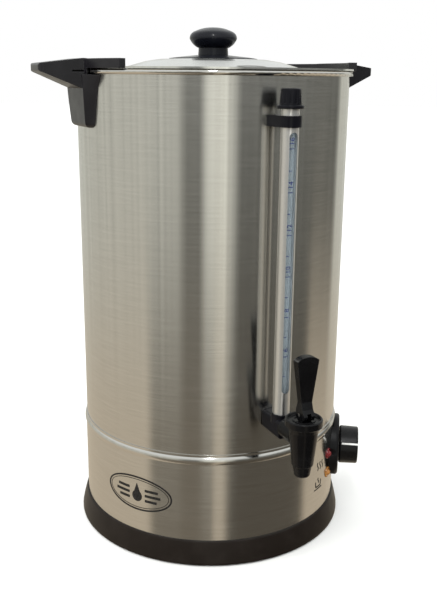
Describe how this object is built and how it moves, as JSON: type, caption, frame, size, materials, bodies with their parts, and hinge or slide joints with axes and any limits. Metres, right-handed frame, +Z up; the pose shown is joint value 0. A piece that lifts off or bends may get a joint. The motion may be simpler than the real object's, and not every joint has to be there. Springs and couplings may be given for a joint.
{
  "type": "electric brew kettle",
  "caption": "Tall stainless electric brew kettle with a lift-off lid, hooked side handles, a thermostat knob and a lever tap under a level sight gauge.",
  "frame": {"origin": "centre of the vessel's axis on the surface the kettle stands on", "axes": "+Z up along the vessel, -Y towards the tap and the sight gauge, +X through the right-hand handle as seen from the tap"},
  "size_m": [0.352, 0.3539, 0.5023],
  "materials": {
    "backing_white": "matt",
    "base_plastic": "satin",
    "bezel_plastic": "satin",
    "copper_bulb": "drawn copper",
    "element_sheath": "heat-darkened",
    "foot_rubber": "matt",
    "galvanised": "satin",
    "gauge_glass": "polished",
    "gauge_plastic": "semi-gloss",
    "gauge_steel": "satin",
    "handle_plastic": "satin",
    "heat_aluminium": "cast",
    "knob_black": "gloss",
    "knob_plastic": "satin",
    "lamp_amber": "gloss",
    "lamp_red": "gloss",
    "lid_steel": "satin",
    "phenolic": "satin",
    "pin_brass": "nickel-free brass",
    "pointer_white": "matt",
    "screw_steel": "satin",
    "seal_rubber": "matt",
    "seal_silicone": "matt",
    "shaft_aluminium": "machined",
    "stainless": "satin",
    "stainless_casing": "satin",
    "tap_plastic": "gloss",
    "thermostat_case": "matt"
  },
  "bodies": {
    "kettle": {"vessel": "stainless", "lower_skirt": "stainless_casing", "base_ring": "base_plastic", "base_plate": "galvanised", "base_screws": "screw_steel", "base_feet": "foot_rubber", "heat_plate": "heat_aluminium", "heating_element": "element_sheath", "element_terminals": "screw_steel", "thermal_cutout": "phenolic", "cutout_clamp": "galvanised", "thermostat": "thermostat_case", "thermostat_bracket": "galvanised", "thermostat_nut": "screw_steel", "thermostat_bulb": "copper_bulb", "bulb_clip": "galvanised", "capillary": "copper_bulb", "knob_bezel": "bezel_plastic", "heat_lamp": "lamp_red", "warm_lamp": "lamp_amber", "lamp_bodies": "phenolic", "inlet_socket": "phenolic", "inlet_pins": "pin_brass", "inlet_screws": "screw_steel", "handle_right": "handle_plastic", "handle_left": "handle_plastic", "handle_screws_right": "screw_steel", "handle_screws_left": "screw_steel", "handle_washers": "screw_steel", "gauge_block": "gauge_plastic", "gauge_gasket": "seal_rubber", "tap_shank": "tap_plastic", "inner_washer": "seal_rubber", "tap_nut": "tap_plastic", "gauge_cover": "gauge_steel", "gauge_glass": "gauge_glass", "gauge_backing": "backing_white", "gauge_seals": "seal_silicone", "gauge_bracket": "gauge_plastic", "bracket_screw": "screw_steel", "tap_body": "tap_plastic", "bonnet_seal": "seal_rubber", "tap_bonnet": "tap_plastic"},
    "lid": {"lid": "lid_steel", "lid_knob_skirt": "knob_black", "lid_knob": "knob_black", "lid_washer": "screw_steel", "lid_knob_screw": "screw_steel"},
    "control_knob": {"control_knob": "knob_plastic", "knob_pointer": "pointer_white", "thermostat_shaft": "shaft_aluminium"},
    "tap_valve": {"tap_stem": "tap_plastic", "seat_cup": "seal_silicone"},
    "tap_lever": {"tap_lever": "tap_plastic", "lever_pin": "screw_steel"},
    "cap_seal": {"cap_seal": "seal_rubber"},
    "gauge_cap": {"gauge_cap": "gauge_plastic"}
  },
  "joints": [
    {"name": "lid_lift", "type": "slide", "parent": "kettle", "child": "lid", "axis": [0, 0, 1], "range_m": [0, 0.15]},
    {"name": "knob_turn", "type": "hinge", "parent": "kettle", "child": "control_knob", "pos_m": [0.11741, -0.07625, 0.0745], "axis": [0.8387, -0.5446, 0], "range_deg": [-270, 0]},
    {"name": "valve_lift", "type": "slide", "parent": "kettle", "child": "tap_valve", "axis": [0, 0, 1], "range_m": [0, 0.00317]},
    {"name": "lever_tilt", "type": "hinge", "parent": "tap_valve", "child": "tap_lever", "pos_m": [0, -0.1956, 0.175], "axis": [1, 0, 0], "range_deg": [0, 70]},
    {"name": "cap_lift", "type": "slide", "parent": "kettle", "child": "cap_seal", "axis": [0, 0, 1], "range_m": [0, 0.04]},
    {"name": "cap_turn", "type": "hinge", "parent": "cap_seal", "child": "gauge_cap", "pos_m": [0, -0.155, 0.441], "axis": [0, 0, 1], "continuous": true}
  ],
  "couplings": [
    {"joint": "lever_tilt", "follows": "valve_lift", "rad_per_m": 384.6}
  ]
}
